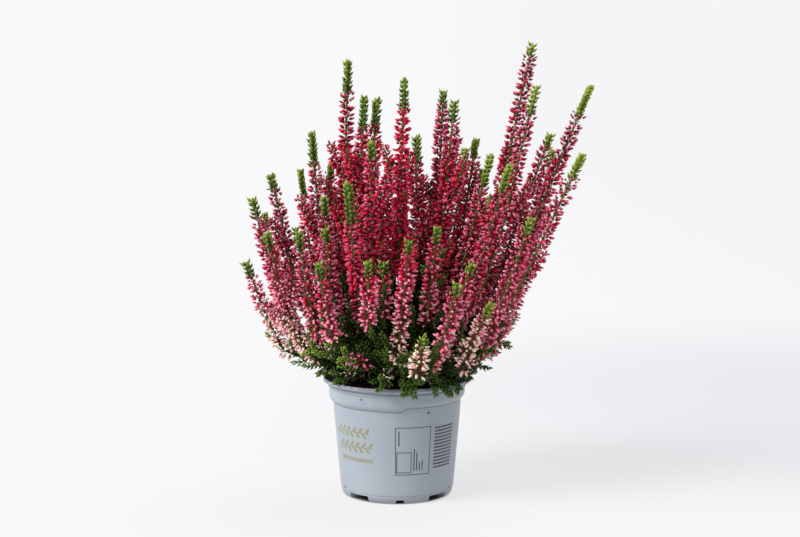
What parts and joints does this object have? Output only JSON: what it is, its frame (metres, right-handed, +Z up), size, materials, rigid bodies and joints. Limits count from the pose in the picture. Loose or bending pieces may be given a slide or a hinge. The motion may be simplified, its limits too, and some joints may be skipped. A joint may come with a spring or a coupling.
{
  "type": "potted heather",
  "caption": "Flowering heather in a round nursery pot: long upright flower spikes with green leafy tips and low leafy sprigs, rooted in peat.",
  "frame": {"origin": "centre of the pot's flat base", "axes": "+Z up, +X to the right and +Y to the back as seen from the front"},
  "size_m": [0.2841, 0.2141, 0.369],
  "materials": {
    "pot": "satin grey-blue moulded plastic",
    "soil": "dark moist peat",
    "foliage": "green scale leaves on brown woody stems",
    "flowers_crimson": "crimson papery buds",
    "flowers_rose": "rose papery buds",
    "flowers_pale": "pale pink papery buds"
  },
  "bodies": {
    "root": {"pot": "pot", "soil": "soil", "plant_1": "foliage", "plant_2": "foliage", "plant_3": "foliage", "spike_01": "flowers_crimson", "spike_02": "flowers_crimson", "spike_03": "flowers_crimson", "spike_04": "flowers_crimson", "spike_05": "flowers_crimson", "spike_06": "flowers_crimson", "spike_07": "flowers_crimson", "spike_08": "flowers_crimson", "spike_09": "flowers_crimson", "spike_10": "flowers_crimson", "spike_11": "flowers_crimson", "spike_12": "flowers_crimson", "spike_13": "flowers_crimson", "spike_14": "flowers_crimson", "spike_15": "flowers_crimson", "spike_16": "flowers_crimson", "spike_17": "flowers_crimson", "spike_18": "flowers_crimson", "spike_19": "flowers_crimson", "spike_20": "flowers_crimson", "spike_21": "flowers_crimson", "spike_22": "flowers_crimson", "spike_23": "flowers_crimson", "spike_24": "flowers_crimson", "spike_25": "flowers_crimson", "spike_26": "flowers_rose", "spike_27": "flowers_rose", "spike_28": "flowers_crimson", "spike_29": "flowers_crimson", "spike_30": "flowers_rose", "spike_31": "flowers_rose", "spike_32": "flowers_rose", "spike_33": "flowers_rose", "spike_34": "flowers_rose", "spike_35": "flowers_pale", "spike_36": "flowers_rose", "spike_37": "flowers_rose", "spike_38": "flowers_rose", "spike_39": "flowers_rose", "spike_40": "flowers_rose", "spike_41": "flowers_rose", "spike_42": "flowers_rose", "spike_43": "flowers_rose", "spike_44": "flowers_pale", "spike_45": "flowers_pale", "spike_46": "flowers_pale", "spike_47": "flowers_rose", "spike_48": "flowers_rose", "spike_49": "flowers_pale", "spike_50": "flowers_rose", "spike_51": "flowers_pale", "spike_52": "flowers_rose", "spike_53": "flowers_pale", "spike_54": "flowers_rose", "spike_55": "flowers_pale"}
  },
  "joints": []
}
